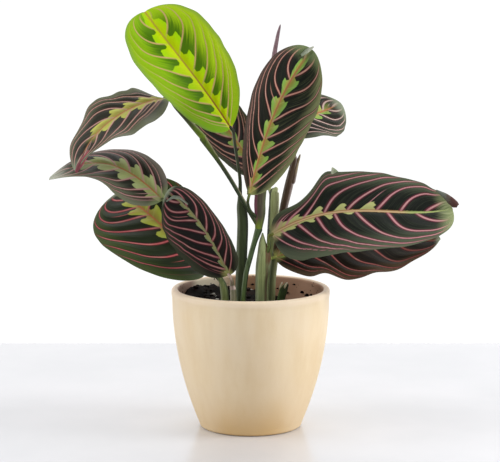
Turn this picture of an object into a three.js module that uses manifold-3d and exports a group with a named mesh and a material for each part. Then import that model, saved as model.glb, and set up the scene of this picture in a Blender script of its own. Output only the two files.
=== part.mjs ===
// A prayer plant in a tapered ceramic pot: pot, soil, stems, leaf stalks and leaf blades.
// Millimetres, +Z up. The origin is the centre of the pot's foot, on the surface it stands on.
// +X runs to the right and +Y to the back, as the plant is seen from the front.

import * as THREE from 'three';
import { mergeVertices } from 'three/addons/utils/BufferGeometryUtils.js';
import Module from 'manifold-3d';

// Pot
const potHeight = 107;
const potRadius = 59.8;         // outside, where the straight part of the wall meets the lip
const footRadius = 38.2;
const wallThickness = 4.8;
const floorThickness = 7;
const footChamfer = 1.8;
const floorFillet = 6;
const bellyPower = 2.0;         // how quickly the outline swells above the foot
const lipHeight = 6.4;
const lipStandOut = 0.5;
const lipRound = 2.6;
const lipStep = 0.75;           // half the height of the step under the lip
const potSegments = 44;

// Soil
const soilLevel = 90.5;
const soilTilt = 0.085;         // rises towards the left of the pot
const soilLump = 1.1;           // height of the surface's swells
const soilEdge = 8;             // the top's outer ring joins the side this far down
const soilRings = 6;
const soilClearance = 0.5;      // to the pot's wall and floor

// Leaf blades and stalks
const bladeThickness = 1.2;
const bladeBaseHalf = 1.3;      // half width where the stalk joins
const bladeTipHalf = 0.7;
const bladeRows = 20;
const bladeColumns = 8;
const outlineRoundness = 2.2;   // power of the curve that swells and narrows the blade
const stalkSides = 8;
const stalkRings = 2;           // for each point of its centre line
const stalkLeadIn = 5;          // last stretch of a stalk, in line with its blade's midrib
const gap = 0.35;               // clearance between pieces that meet

// Each blade has its midrib from base to tip, with two pull points between, the way its upper
// face looks, and its twist from base to tip in degrees. Its left and right half each have a
// width, a rise from the midrib in degrees, a further curl out to the margin and a roundness
// of the base. belly is how far along it is widest, and tip how blunt it ends, 0 being square.
// ripple is the height of the margin's waves, and their number along the blade.
const blades = {
  lime_top: {
    rib: [[-15, -7, 230], [-37, -22, 267], [-63, -28, 297], [-79, -5, 317]],
    faces: [0.1, -1, 0.7], twist: -13,
    halves: [36, 33], rise: [12, 12], curl: [9, 8], base: [0.57, 0.6],
    belly: 0.6, tip: 0.55, ripple: [0.6, 2],
  },
  upper_left: {
    rib: [[-64, 0, 252], [-95, -23, 250], [-122, -25, 229], [-128, -46, 203]],
    faces: [-1.4, -1, 0.1], twist: 8,
    halves: [30, 28], rise: [4, 2], curl: [-12, 4], base: [0.6, 0.56],
    belly: 0.5, tip: 0.75, ripple: [1.2, 3],
  },
  front_tall: {
    rib: [[-1, -27, 182], [9, -31, 222], [18, -40, 257], [45, -33, 291]],
    faces: [0.85, -1, 0.87], twist: -10,
    halves: [32, 29], rise: [17, 15], curl: [15, 11], base: [0.98, 0.44],
    belly: 0.56, tip: 0.58, ripple: [0.5, 2],
  },
  right_large: {
    rib: [[16, -8, 149], [67, -31, 185], [109, -43, 164], [149, -41, 174]],
    faces: [0.2, -1, 0.8], twist: -15,
    halves: [33, 39], rise: [6, 9], curl: [0, -5], base: [1.45, 0.35],
    belly: 0.44, tip: 0.38, ripple: [0.6, 2],
  },
  back_right: {
    rib: [[28, 10, 222], [39, 18, 240], [48, 42, 232], [70, 51, 243]],
    faces: [0.1, -1, 0.7], twist: 6,
    halves: [21, 27], rise: [2, 6], curl: [2, 6], base: [0.55, 0.55],
    belly: 0.52, tip: 0.83, ripple: [0.8, 2],
  },
  mid_left: {
    rib: [[-66, -17, 177], [-94, -19, 207], [-117, -16, 214], [-151, -19, 193]],
    faces: [-1, -1, 1.5], twist: 15,
    halves: [27, 26], rise: [10, -13], curl: [6, -12], base: [0.54, 0.51],
    belly: 0.5, tip: 0.72, ripple: [0.5, 2],
  },
  low_left: {
    rib: [[-34, 3, 122], [-60, -6, 147], [-77, 0, 168.5], [-103, 27, 176]],
    faces: [-0.2, -1, 1.8], twist: -20,
    halves: [52, 36], rise: [10, 8], curl: [-7, 5], base: [0.49, 0.55],
    belly: 0.51, tip: 0.58, ripple: [0.5, 2],
  },
  front_left: {
    rib: [[-16, -31, 122], [-31, -34, 152], [-41, -50, 175], [-62, -49, 187]],
    faces: [-0.65, -1, 0.15], twist: -8,
    halves: [28, 26], rise: [14, 14], curl: [9, 20], base: [0.46, 0.56],
    belly: 0.5, tip: 0.52, ripple: [0.5, 2],
  },
  low_right: {
    rib: [[18, -4, 131], [57, 1, 145], [100, 6, 135], [144, 1, 145]],
    faces: [0.2, -1, 0.95], twist: -4,
    halves: [32, 33], rise: [8, 9], curl: [5, 0], base: [0.55, 0.5],
    belly: 0.47, tip: 0.77, ripple: [1.6, 2.5],
  },
  back: {
    rib: [[6, 25, 191], [-10, 34, 214], [-27, 41, 235], [-37, 29, 257]],
    faces: [-0.5, -1, -0.45], twist: 4,
    halves: [28, 28], rise: [0, 10], curl: [-15, 8], base: [0.56, 0.55],
    belly: 0.59, tip: 0.63, ripple: [0.5, 2],
  },
};

// Each stalk or stem: points [x, y, z, radius] along its centre line, from the bottom up.
// A stalk named like a blade runs on to that blade's base.
const soilDepth = 84;           // how low the stems reach into the soil
const stalks = {
  lime_top: [[-8, 2, soilDepth, 4.2], [-7, 2, 126, 4.2], [-6, 1, 155, 4.2], [-7, 0, 169, 3.6],
    [-8, -1, 177, 1.8], [-8, -3, 190, 1.3], [-10, -5, 205, 1.2], [-12, -6, 218, 1.2]],
  upper_left: [[-36, 4, 221.5, 2.5], [-41, 5, 227, 2.3], [-49, 5, 236, 1.8], [-57, 3, 245, 1.3]],
  front_tall: [[5, -9, 162, 1.2], [0, -15, 168, 1.1], [-2, -20, 174, 1.1]],
  right_large: [[11, -9, 133, 1.4], [14, -10, 140, 1.3]],
  back_right: [[18, 5, soilDepth, 2.4], [18, 8, 120, 2.5], [21, 11, 143, 2.7], [24.6, 11, 164, 3],
    [29.1, 11, 184, 3.3], [32.8, 11, 200, 2.7], [33, 10, 207, 1.4]],
  mid_left: [[-19, -12, soilDepth, 3], [-20, -12, 107, 3], [-24, -12, 118, 1.8],
    [-33, -12, 135, 1.2], [-46, -13, 153, 1.2]],
  low_left: [[-19.5, 2, soilDepth, 2], [-20, 2, 103, 1.8], [-22.5, 2, 111, 1.5]],
  front_left: [[-13, -18, soilDepth, 2.4], [-13, -19, 105, 2.4], [-14, -23, 113, 1.8]],
  low_right: [[10, -7, 128, 1.6]],
  back: [[14, 14, soilDepth, 3.2], [15, 18, 118, 3.4], [16, 19, 142, 3.5], [17, 18, 163, 3.4],
    [17, 18, 173, 2.8], [14, 20, 181, 1.4]],
};
const stems = {
  stem_centre: [[-7, -10, soilDepth, 2.1], [-4, -10, 116, 2], [0, -10, 133, 2], [3, -10, 144, 2.1],
    [6, -9, 153, 2.9]],
  sheath_centre: [[6, -9, 153.5, 2.7], [7, -8, 165, 4.1], [7, -7, 175, 4.3], [9, -6, 194, 4.2],
    [12, -4, 220, 3.4], [14, -2, 247, 2.3]],
  rolled_leaf: [[14, -2, 246, 1.9], [17, 0, 279, 1.4], [20, 2, 297, 1], [21, 3, 306, 0.5]],
  stem_branch: [[5, -9, 157, 1.7], [-2, -10, 169, 1.7], [-8, -9, 179, 1.6], [-16, -5, 192, 1.6],
    [-25, 0, 205, 1.7], [-36, 4, 220.5, 2.7]],
  sheath_right: [[8, -7, soilDepth, 4.2], [8, -7, 110, 4.4], [9, -7, 123, 5.3], [10, -7, 132, 5.3],
    [9, -8, 142, 3], [9, -8, 150, 0.6]],
  stub_cut: [[23.6, 4, soilDepth, 2.6], [24, 4, 97, 2.6], [26, 4, 105, 2.3], [27, 4, 108.5, 1.3]],
};

const potFinish = { color: 0xe6cfa2, roughness: 0.55, metalness: 0 };
const soilFinish = { color: 0x1e1613, roughness: 0.95, metalness: 0 };
const limeBlade = { color: 0x9cc414, roughness: 0.45, metalness: 0 };
const darkBlade = { color: 0x22301f, roughness: 0.45, metalness: 0 };
const rolledBlade = { color: 0x8b6f72, roughness: 0.5, metalness: 0 };
const greenStem = { color: 0x4d6631, roughness: 0.6, metalness: 0 };
const paleSheath = { color: 0x7f9a55, roughness: 0.6, metalness: 0 };
const brownSheath = { color: 0x4a4632, roughness: 0.6, metalness: 0 };

const wasm = await Module();
wasm.setup();

function toSolid(geometry) {
  const bare = geometry.clone();
  bare.deleteAttribute('normal');
  bare.deleteAttribute('uv');
  const merged = mergeVertices(bare, 1e-4);
  const corners = merged.index.array;
  const triangles = [];
  for (let i = 0; i < corners.length; i += 3) {
    const [a, b, c] = [corners[i], corners[i + 1], corners[i + 2]];
    if (a !== b && b !== c && c !== a) triangles.push(a, b, c);
  }
  return new wasm.Manifold(new wasm.Mesh({
    numProp: 3,
    vertProperties: new Float32Array(merged.attributes.position.array),
    triVerts: new Uint32Array(triangles),
  }));
}

function toGeometry(solid) {
  const mesh = solid.getMesh();
  const geometry = new THREE.BufferGeometry();
  geometry.setAttribute('position', new THREE.BufferAttribute(mesh.vertProperties, 3));
  geometry.setIndex(new THREE.BufferAttribute(mesh.triVerts, 1));
  geometry.computeVertexNormals();
  return geometry;
}

function moved(geometry, place) {
  const position = geometry.attributes.position;
  const point = new THREE.Vector3();
  for (let i = 0; i < position.count; i++) {
    point.fromBufferAttribute(position, i);
    place(point);
    position.setXYZ(i, point.x, point.y, point.z);
  }
  return geometry;
}

// Pot: one turned wall whose outline swells from the foot to a rolled lip.

const lipBottom = potHeight - lipHeight;

function potOuterRadius(z) {
  const up = Math.min(z / lipBottom, 1);
  return potRadius - (potRadius - footRadius) * (1 - up) ** bellyPower;
}

function arcPoints(centreR, centreZ, radius, fromDegrees, toDegrees, steps) {
  const points = [];
  for (let i = 0; i <= steps; i++) {
    const angle = THREE.MathUtils.degToRad(fromDegrees + (toDegrees - fromDegrees) * i / steps);
    points.push([centreR + radius * Math.cos(angle), centreZ + radius * Math.sin(angle)]);
  }
  return points;
}

function wallHeights(from, to, steps) {
  return Array.from({ length: steps + 1 }, (_, i) => from + (to - from) * i / steps);
}

function turned(outline, segments) {
  const profile = outline.map(([r, z]) => new THREE.Vector2(r, z));
  return new THREE.LatheGeometry(profile, segments).rotateX(Math.PI / 2);
}

function potGeometry() {
  const lipOuter = potRadius + lipStandOut;
  const lipInner = potRadius - wallThickness;
  const innerFoot = potOuterRadius(floorThickness + floorFillet) - wallThickness;
  const outline = [
    [0, 0],
    [footRadius - footChamfer, 0],
    ...wallHeights(footChamfer, lipBottom - lipStep, 8).map((z) => [potOuterRadius(z), z]),
    [lipOuter, lipBottom + lipStep],
    ...arcPoints(lipOuter - lipRound, potHeight - lipRound, lipRound, 0, 90, 3),
    ...arcPoints(lipInner + lipRound, potHeight - lipRound, lipRound, 90, 180, 3),
    ...wallHeights(lipBottom, floorThickness + floorFillet, 5)
      .map((z) => [potOuterRadius(z) - wallThickness, z]),
    ...arcPoints(innerFoot - floorFillet, floorThickness + floorFillet, floorFillet, 0, -90, 3)
      .slice(1),
    [0, floorThickness],
  ];
  return turned(outline, potSegments);
}

// Soil: fills the pot to a lumpy top that is higher on the left.

function soilHeight(x, y) {
  const lumps = Math.sin(x * 0.31 + 1) * Math.cos(y * 0.27) + 0.6 * Math.sin(x * 0.13 - y * 0.41);
  return soilLevel - soilTilt * x + soilLump * lumps;
}

function soilGeometry() {
  const wallGap = wallThickness + soilClearance;
  const bottom = floorThickness + soilClearance;
  const edge = potOuterRadius(soilLevel) - wallGap;
  const cornerRadius = potOuterRadius(bottom + floorFillet) - wallGap;
  const outline = [
    [0, bottom],
    ...arcPoints(cornerRadius - floorFillet, bottom + floorFillet, floorFillet, -90, 0, 3),
    ...wallHeights(bottom + floorFillet, soilLevel - soilEdge, 4).slice(1)
      .map((z) => [potOuterRadius(z) - wallGap, z]),
  ];
  for (let ring = soilRings; ring >= 0; ring--) outline.push([edge * ring / soilRings, soilLevel]);
  return moved(turned(outline, potSegments), (point) => {
    if (point.z < soilLevel - soilEdge / 2) return;
    point.z = soilHeight(point.x, point.y);
    const fit = (potOuterRadius(point.z) - wallGap) / edge;
    point.x *= fit;
    point.y *= fit;
  });
}

// Blade: a thin slab whose length follows the midrib and whose halves rise and curl to the margins.

const vector = ([x, y, z]) => new THREE.Vector3(x, y, z);

function ribCurve(blade) {
  return new THREE.CubicBezierCurve3(...blade.rib.map(vector));
}

function halfWidth(blade, side, along) {
  const { belly, tip } = blade;
  const towardsBase = Math.max(1 - along / belly, 0) ** outlineRoundness;
  const towardsTip = Math.max((along - belly) / (1 - belly), 0) ** outlineRoundness;
  const outline = along < belly ? (1 - towardsBase) ** blade.base[side] : (1 - towardsTip) ** tip;
  const least = THREE.MathUtils.lerp(bladeBaseHalf, bladeTipHalf, along);
  return Math.max(blade.halves[side] * outline, least);
}

function bladeFrame(blade, curve, along) {
  const tangent = curve.getTangentAt(along);
  const normal = vector(blade.faces).normalize();
  normal.addScaledVector(tangent, -normal.dot(tangent)).normalize();
  normal.applyAxisAngle(tangent, THREE.MathUtils.degToRad(blade.twist) * (along - 0.5));
  return { centre: curve.getPointAt(along), normal, across: tangent.clone().cross(normal) };
}

function bladePoint(blade, frame, along, across) {
  const side = across < 0 ? 0 : 1;
  const reach = Math.abs(across);
  const width = halfWidth(blade, side, along);
  const fullness = width / blade.halves[side];
  const steps = 8;
  const point = frame.centre.clone();
  for (let i = 0; i < steps; i++) {
    const middle = reach * (i + 0.5) / steps;
    const slope = THREE.MathUtils.degToRad(blade.rise[side] + blade.curl[side] * middle * fullness);
    const step = width * reach / steps;
    point.addScaledVector(frame.across, Math.sign(across) * step * Math.cos(slope));
    point.addScaledVector(frame.normal, step * Math.sin(slope));
  }
  const [rippleHeight, ripples] = blade.ripple;
  const wave = Math.sin(2 * Math.PI * (ripples * along + 0.25 + 0.5 * side));
  return point.addScaledVector(frame.normal, rippleHeight * reach ** 2 * fullness * wave);
}

function bladeGeometry(blade) {
  const curve = ribCurve(blade);
  curve.arcLengthDivisions = 400;
  const slab = new THREE.BoxGeometry(1, 1, 1, bladeRows, bladeColumns, 1);
  return moved(slab, (point) => {
    const along = 0.5 + 0.5 * Math.sin(Math.PI * point.x);
    const across = -2 * point.y;
    const lift = point.z * bladeThickness;
    const frame = bladeFrame(blade, curve, along);
    point.copy(bladePoint(blade, frame, along, across)).addScaledVector(frame.normal, lift);
  });
}

// Stalk: a tapered round bar bent along its centre line.

function stalkGeometry(points, extra = 0) {
  const path = new THREE.CatmullRomCurve3(points.map(vector), false, 'catmullrom', 0.5);
  const rings = Math.max(stalkRings * (points.length - 1), stalkSides);
  const frames = path.computeFrenetFrames(rings, false);
  const radii = new THREE.CatmullRomCurve3(points.map((p) => new THREE.Vector3(p[3], 0, 0)),
    false, 'catmullrom', 0.5);
  const outline = [[0, 0]];
  for (let i = 0; i <= rings; i++) {
    const radius = radii.getPoint(path.getUtoTmapping(i / rings)).x + extra;
    outline.push([radius, i]);
  }
  outline.push([0, rings]);
  const bar = new THREE.LatheGeometry(outline.map(([r, z]) => new THREE.Vector2(r, z)), stalkSides);
  return moved(bar, (point) => {
    const ring = Math.round(point.y);
    const [outwards, sideways] = [point.x, -point.z];
    point.copy(path.getPointAt(ring / rings));
    if (ring === 0) point.addScaledVector(frames.tangents[0], -extra);
    if (ring === rings) point.addScaledVector(frames.tangents[rings], extra);
    point.addScaledVector(frames.normals[ring], outwards);
    point.addScaledVector(frames.binormals[ring], sideways);
  });
}

// A blade's stalk ends just short of the blade's base, square to it.
function stalkToBlade(name) {
  const curve = ribCurve(blades[name]);
  const base = curve.getPoint(0);
  const start = curve.getTangent(0);
  const points = stalks[name];
  const radius = Math.min(points.at(-1)[3], bladeBaseHalf);
  const leadIn = Math.min(stalkLeadIn, vector(points.at(-1)).distanceTo(base) / 3);
  const tail = [leadIn, 1.5 * gap].map((back) => base.clone().addScaledVector(start, -back));
  return [...points, ...tail.map((point) => [...point.toArray(), radius])];
}

const plant = new THREE.Group();

function addPiece(name, geometry, finish) {
  const mesh = new THREE.Mesh(geometry, new THREE.MeshStandardMaterial(finish));
  mesh.name = name;
  plant.add(mesh);
}

const routes = { ...stems };
for (const name of Object.keys(stalks)) routes[`petiole_${name}`] = stalkToBlade(name);

// A stalk that springs from another piece starts inside it, and is cut back to its surface.
const springsFrom = {
  stem_branch: ['stem_centre', 'sheath_centre'],
  sheath_centre: ['stem_centre'],
  rolled_leaf: ['sheath_centre'],
  petiole_front_tall: ['sheath_centre', 'stem_branch'],
  petiole_upper_left: ['stem_branch'],
  petiole_right_large: ['sheath_right'],
  petiole_low_right: ['sheath_right'],
};
const stalkFinishes = {
  petiole_lime_top: brownSheath,
  petiole_back_right: brownSheath,
  sheath_centre: brownSheath,
  sheath_right: paleSheath,
  petiole_right_large: paleSheath,
  petiole_low_right: paleSheath,
  petiole_back: paleSheath,
  petiole_front_left: paleSheath,
  rolled_leaf: rolledBlade,
};

let soil = toSolid(soilGeometry());
for (const [name, points] of Object.entries(routes)) {
  let solid = toSolid(stalkGeometry(points));
  for (const parent of springsFrom[name] ?? []) {
    solid = solid.subtract(toSolid(stalkGeometry(routes[parent], gap)));
  }
  if (points[0][2] === soilDepth) soil = soil.subtract(toSolid(stalkGeometry(points, gap)));
  addPiece(name, toGeometry(solid), stalkFinishes[name] ?? greenStem);
}

for (const [name, blade] of Object.entries(blades)) {
  addPiece(`leaf_${name}`, bladeGeometry(blade), name === 'lime_top' ? limeBlade : darkBlade);
}

addPiece('pot', potGeometry(), potFinish);
addPiece('soil', toGeometry(soil), soilFinish);

export default plant;
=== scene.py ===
import math
import random
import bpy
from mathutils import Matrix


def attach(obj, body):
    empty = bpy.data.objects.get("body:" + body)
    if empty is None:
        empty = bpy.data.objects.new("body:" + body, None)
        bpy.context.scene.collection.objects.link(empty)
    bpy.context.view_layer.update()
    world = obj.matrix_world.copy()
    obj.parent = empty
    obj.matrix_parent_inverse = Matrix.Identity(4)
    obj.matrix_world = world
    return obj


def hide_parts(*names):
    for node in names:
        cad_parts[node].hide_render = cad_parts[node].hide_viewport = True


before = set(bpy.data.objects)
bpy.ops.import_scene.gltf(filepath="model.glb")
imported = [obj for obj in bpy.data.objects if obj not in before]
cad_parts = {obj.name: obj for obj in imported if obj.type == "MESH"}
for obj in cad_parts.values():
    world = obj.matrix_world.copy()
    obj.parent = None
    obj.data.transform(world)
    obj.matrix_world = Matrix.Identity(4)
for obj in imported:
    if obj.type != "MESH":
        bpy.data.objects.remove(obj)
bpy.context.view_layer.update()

from types import SimpleNamespace

import bpy
import numpy as np
from mathutils import Vector, noise

mm = 0.001
scene = bpy.context.scene

# camera, table and lit sheet are set as the plant was photographed
view = {
    "place": (-0.0005, -1.7, 0.419),
    "tiltDown": 8.975,          # degrees below level
    "lens": 163.3,
    "sensor": 36.0,
    "tableBack": 0.305,         # the table ends this far behind the pot's middle
    "tableFront": -0.9,
    "tableHalf": 0.75,
    "sheetBack": 3.6,           # far enough that a camera behind the plant still stands before it
    "sheetSize": 4.07,
    "sheetMiddle": 0.07,
    "sheetGlow": 1.05,
    "worldLight": 0.54,
    "lampsAimAt": (0, 0, 0.17),
}
# place, side and power of each lamp
lamps = {
    "leftSoftbox": [(-1.3, -0.1, 0.7), 0.7, 7.5],
    "rightSoftbox": [(1.3, -0.2, 0.7), 0.7, 13.2],
    "topFront": [(-0.3, -0.9, 1.7), 1.0, 2.2],
    "topBack": [(0.1, 0.9, 1.5), 1.0, 7.0],
}


def makeCamera():
    bpy.ops.object.camera_add(location=view["place"])
    camera = bpy.context.object
    camera.rotation_euler = (math.radians(90 - view["tiltDown"]), 0, 0)
    camera.data.lens = view["lens"]
    camera.data.sensor_width = view["sensor"]
    camera.data.clip_start = 0.01
    camera.data.clip_end = 20
    scene.camera = camera


def makeLights():
    for name, (place, side, power) in lamps.items():
        bpy.ops.object.light_add(type="AREA", location=place)
        light = bpy.context.object
        light.name = name
        light.data.size = side
        light.data.energy = power
        aim = Vector(view["lampsAimAt"]) - Vector(place)
        light.rotation_euler = aim.to_track_quat("-Z", "Y").to_euler()
    scene.world = bpy.data.worlds.new("studio")
    scene.world.use_nodes = True
    background = scene.world.node_tree.nodes["Background"]
    background.inputs["Color"].default_value = (1, 1, 1, 1)
    background.inputs["Strength"].default_value = view["worldLight"]
    scene.view_settings.view_transform = "Standard"


def arithmetic(operation, swapped=False):
    if swapped:
        return lambda self, other: self.math(operation, other, self)
    return lambda self, other: self.math(operation, self, other)


class Wire:
    # one output of a shader node: arithmetic on it adds Math nodes
    def __init__(self, tree, socket=None):
        self.tree = tree
        self.socket = socket

    def node(self, kind, settings=None, inputs=None, output=0):
        made = self.tree.nodes.new(kind)
        for name, value in (settings or {}).items():
            setattr(made, name, value)
        plug(self.tree, made, inputs or {})
        return Wire(self.tree, made.outputs[output])

    def math(self, operation, first, second=0.0):
        return self.node("ShaderNodeMath", {"operation": operation}, {0: first, 1: second})

    __add__ = arithmetic("ADD")
    __radd__ = arithmetic("ADD", swapped=True)
    __sub__ = arithmetic("SUBTRACT")
    __rsub__ = arithmetic("SUBTRACT", swapped=True)
    __mul__ = arithmetic("MULTIPLY")
    __rmul__ = arithmetic("MULTIPLY", swapped=True)
    __truediv__ = arithmetic("DIVIDE")
    __pow__ = arithmetic("POWER")

    def absolute(self):
        return self.math("ABSOLUTE", self)

    def clamped(self):
        return self.node("ShaderNodeClamp", inputs={"Value": self})

    def eased(self, low, high, start=0.0, end=1.0):
        ends = {"Value": self, "From Min": low, "From Max": high, "To Min": start, "To Max": end}
        return self.node("ShaderNodeMapRange", {"interpolation_type": "SMOOTHSTEP"}, ends)

    def mixed(self, first, second):
        # the wire is the share of the second colour
        return self.node("ShaderNodeMix", {"data_type": "RGBA"}, {0: self, 6: first, 7: second}, 2)

    def noise(self, scale=1.0, detail=3.0, rough=0.5):
        inputs = {"Vector": self, "Scale": scale, "Detail": detail, "Roughness": rough}
        return self.node("ShaderNodeTexNoise", inputs=inputs)

    def vector(self, x, y, z=0.0):
        return self.node("ShaderNodeCombineXYZ", inputs={"X": x, "Y": y, "Z": z})

    def split(self):
        parts = self.tree.nodes.new("ShaderNodeSeparateXYZ")
        self.tree.links.new(self.socket, parts.inputs[0])
        return [Wire(self.tree, out) for out in parts.outputs]

    def place(self):
        return self.node("ShaderNodeTexCoord", output="Object")


def plug(tree, made, inputs):
    for name, value in inputs.items():
        if isinstance(value, Wire):
            tree.links.new(value.socket, made.inputs[name])
        else:
            made.inputs[name].default_value = tint(value) if isinstance(value, str) else value


def tint(code):
    # a colour as it looks on screen, such as "c8a070", to the linear values that a shader takes
    parts = [int(code[i:i + 2], 16) / 255 for i in (0, 2, 4)]
    return tuple(p / 12.92 if p <= 0.04045 else ((p + 0.055) / 1.055) ** 2.4 for p in parts) + (1.0,)


def newFinish(name):
    material = bpy.data.materials.new(name)
    material.use_nodes = True
    return material, Wire(material.node_tree)


def layered(colour, *layers):
    # each layer is its share and its colour, the lowest first
    for share, over in layers:
        colour = share.mixed(colour, over)
    return colour


def finished(material, colour, rough, shine, bump=None, more=None):
    # bump is a height, its strength and its distance in metres
    tree = material.node_tree
    inputs = {"Base Color": colour, "Roughness": rough, "Specular IOR Level": shine, **(more or {})}
    if bump:
        heights = dict(zip(("Height", "Strength", "Distance"), bump))
        inputs["Normal"] = Wire(tree).node("ShaderNodeBump", inputs=heights)
    plug(tree, tree.nodes["Principled BSDF"], inputs)
    return material


def onlySelect(piece):
    bpy.ops.object.select_all(action="DESELECT")
    piece.select_set(True)
    bpy.context.view_layer.objects.active = piece


def applyAll(piece):
    onlySelect(piece)
    for modifier in list(piece.modifiers):
        bpy.ops.object.modifier_apply(modifier=modifier.name)


def smooth(piece, angle):
    onlySelect(piece)
    bpy.ops.object.shade_smooth_by_angle(angle=math.radians(angle))


def joinTo(piece, part):
    onlySelect(piece)
    part.select_set(True)
    bpy.ops.object.join()


def keep(piece, name, slot, *nodes):
    piece.name = name
    piece.data.name = name
    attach(piece, "root")
    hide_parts(*nodes)
    return piece


def coordinates(piece):
    values = np.empty(len(piece.data.vertices) * 3)
    piece.data.vertices.foreach_get("co", values)
    return values.reshape(-1, 3)


def moveTo(piece, points):
    piece.data.vertices.foreach_set("co", np.asarray(points, float).ravel())
    piece.data.update()


def cornerVertices(mesh):
    corners = np.empty(len(mesh.loops), int)
    mesh.loops.foreach_get("vertex_index", corners)
    return corners


def step(low, high, x):
    s = np.clip((x - low) / (high - low), 0, 1)
    return s * s * (3 - 2 * s)


pot = {
    "height": 107 * mm,
    "radius": 59.8 * mm,        # where the wall meets the lip
    "foot": 38.2 * mm,
    "wall": 4.8 * mm,
    "floor": 7 * mm,
    "belly": 2.0,
    "lip": 6.4 * mm,
    "lipStandOut": 0.5 * mm,
    "lipRound": 2.4 * mm,
    "lipSpread": [-1.8 * mm, 2.6 * mm],     # the wall swells into the lip over this much of its bottom
    "footRound": 2.6 * mm,
    "floorRound": 6 * mm,
    "sides": 160,
    "wallRings": 30,
    "insideRings": 16,
    "swellRings": 8,
}
pot["lipBottom"] = pot["height"] - pot["lip"]


def potOuter(z):
    up = min(max(z / pot["lipBottom"], 0), 1)
    return pot["radius"] - (pot["radius"] - pot["foot"]) * (1 - up) ** pot["belly"]


def potInner(z):
    return potOuter(z) - pot["wall"]


def arc(centreR, centreZ, radius, start, end, steps):
    angles = [math.radians(start + (end - start) * i / steps) for i in range(steps + 1)]
    return [(centreR + radius * math.cos(a), centreZ + radius * math.sin(a)) for a in angles]


def potOutline():
    foot, stand = pot["footRound"], pot["lipStandOut"]
    outer, inner = pot["radius"] + stand, pot["radius"] - pot["wall"]
    lipRound, lipZ = pot["lipRound"], pot["height"] - pot["lipRound"]
    fillet, filletZ = pot["floorRound"], pot["floor"] + pot["floorRound"]
    swellFrom, swellTo = [pot["lipBottom"] + part for part in pot["lipSpread"]]
    swell = [i / pot["swellRings"] for i in range(pot["swellRings"] + 1)]
    return [
        *arc(potOuter(foot) - foot, foot, foot, -90, -8, 7),
        *[(potOuter(z), z) for z in np.linspace(foot, swellFrom - 1 * mm, pot["wallRings"])],
        *[(potOuter(swellFrom + (swellTo - swellFrom) * t) + stand * t * t * (3 - 2 * t),
           swellFrom + (swellTo - swellFrom) * t) for t in swell],
        *arc(outer - lipRound, lipZ, lipRound, 0, 90, 8),
        *arc(inner + lipRound, lipZ, lipRound, 90, 180, 8),
        *[(potInner(z), z) for z in np.linspace(pot["lipBottom"], filletZ, pot["insideRings"])],
        *arc(potInner(filletZ) - fillet, filletZ, fillet, 0, -90, 7)[1:],
    ]


def turned(outline, sides):
    # a circle is extruded and scaled from one ring of the outline to the next, and closed
    startRadius, startZ = outline[0]
    bpy.ops.mesh.primitive_circle_add(vertices=sides, radius=startRadius, location=(0, 0, startZ))
    piece = bpy.context.object
    bpy.ops.object.mode_set(mode="EDIT")
    bpy.ops.mesh.select_all(action="SELECT")
    for (lastR, lastZ), (r, z) in zip(outline, outline[1:]):
        bpy.ops.mesh.extrude_region_move(TRANSFORM_OT_translate={"value": (0, 0, z - lastZ)})
        bpy.ops.transform.resize(value=(r / lastR, r / lastR, 1))
    for rise, r in ((0, 0.5), (0, 0.2)):
        bpy.ops.mesh.extrude_region_move(TRANSFORM_OT_translate={"value": (0, 0, rise)})
        bpy.ops.transform.resize(value=(r, r, 1))
    bpy.ops.mesh.edge_face_add()
    bpy.ops.object.mode_set(mode="OBJECT")
    onlySelect(piece)
    bpy.ops.object.transform_apply()
    closeRing()
    return piece


def closeRing():
    # fills the ring where the turning began and turns all faces outwards
    bpy.ops.object.mode_set(mode="EDIT")
    bpy.ops.mesh.select_mode(type="VERT")
    bpy.ops.mesh.select_all(action="DESELECT")
    bpy.ops.mesh.select_non_manifold()
    bpy.ops.mesh.edge_face_add()
    bpy.ops.mesh.select_all(action="SELECT")
    bpy.ops.mesh.normals_make_consistent(inside=False)
    bpy.ops.object.mode_set(mode="OBJECT")


def potFinish():
    material, wire = newFinish("creamGlaze")
    place = wire.place()
    x, y, z = place.split()
    radial = (x * x + y * y) ** 0.5
    up = (z / pot["lipBottom"]).clamped()
    wallAt = pot["radius"] - (pot["radius"] - pot["foot"]) * (1 - up) ** pot["belly"]
    inside = (wallAt - radial).eased(2.4 * mm, 3.8 * mm) * z.eased(0.006, 0.009) * z.eased(0.1068, 0.1058)
    streaks = wire.vector(x * 60, y * 60, z * 14).noise(1.0, 4.0, 0.6)
    cloud = place.noise(26.0)
    fine = place.noise(900.0)
    # painted shade, darker and golden towards the foot and most in the middle; and paler on the lip
    # painted shade: the lower middle is darkened as if the side lamps reach it least
    lowerMiddleShade = z.eased(0.040, 0.0, 0.0, 0.8) * x.absolute().eased(0.014, 0.036, 1.0, 0.35)
    lowerMiddleShade = lowerMiddleShade + z.eased(0.095, 0.045, 0.0, 0.15)
    cream = layered(
        "f3dfbd",
        (streaks.eased(0.3, 0.72), "ead2aa"),
        (cloud.eased(0.35, 0.75) * 0.5, "efdcc0"),
        (lowerMiddleShade, "d8b57e"),
        # painted highlight: the top of the lip is paler
        (z.eased(0.1012, 0.1040) * 0.5, "f8e4cc"))
    # the inside is painted brown, partly soil stain and partly painted shade, more so to the right
    stain = wire.vector(x * 34, y * 34, z * 40).noise(1.0, 4.0)
    brown = layered(
        # cream where x lies between -40 and -30 mm: a painted pool of light on the inner wall
        "f2e8ce",
        (x.eased(-0.030, -0.008), "cfa680"),
        (x.eased(0.000, 0.030), "c49a80"),
        (x.eased(-0.040, -0.047), "ab8e7e"),
        (stain.eased(0.3, 0.7) * x.eased(-0.02, 0.0, 0.15, 0.6), "a47a60"),
        (place.noise(260.0, 1.0).eased(0.70, 0.74), "2a1b14"))
    rough = 0.42 + 0.16 * streaks + 0.25 * inside
    return finished(material, inside.mixed(cream, brown), rough, 0.45, (fine + 1.5 * streaks, 0.12, 0.0006))


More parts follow.
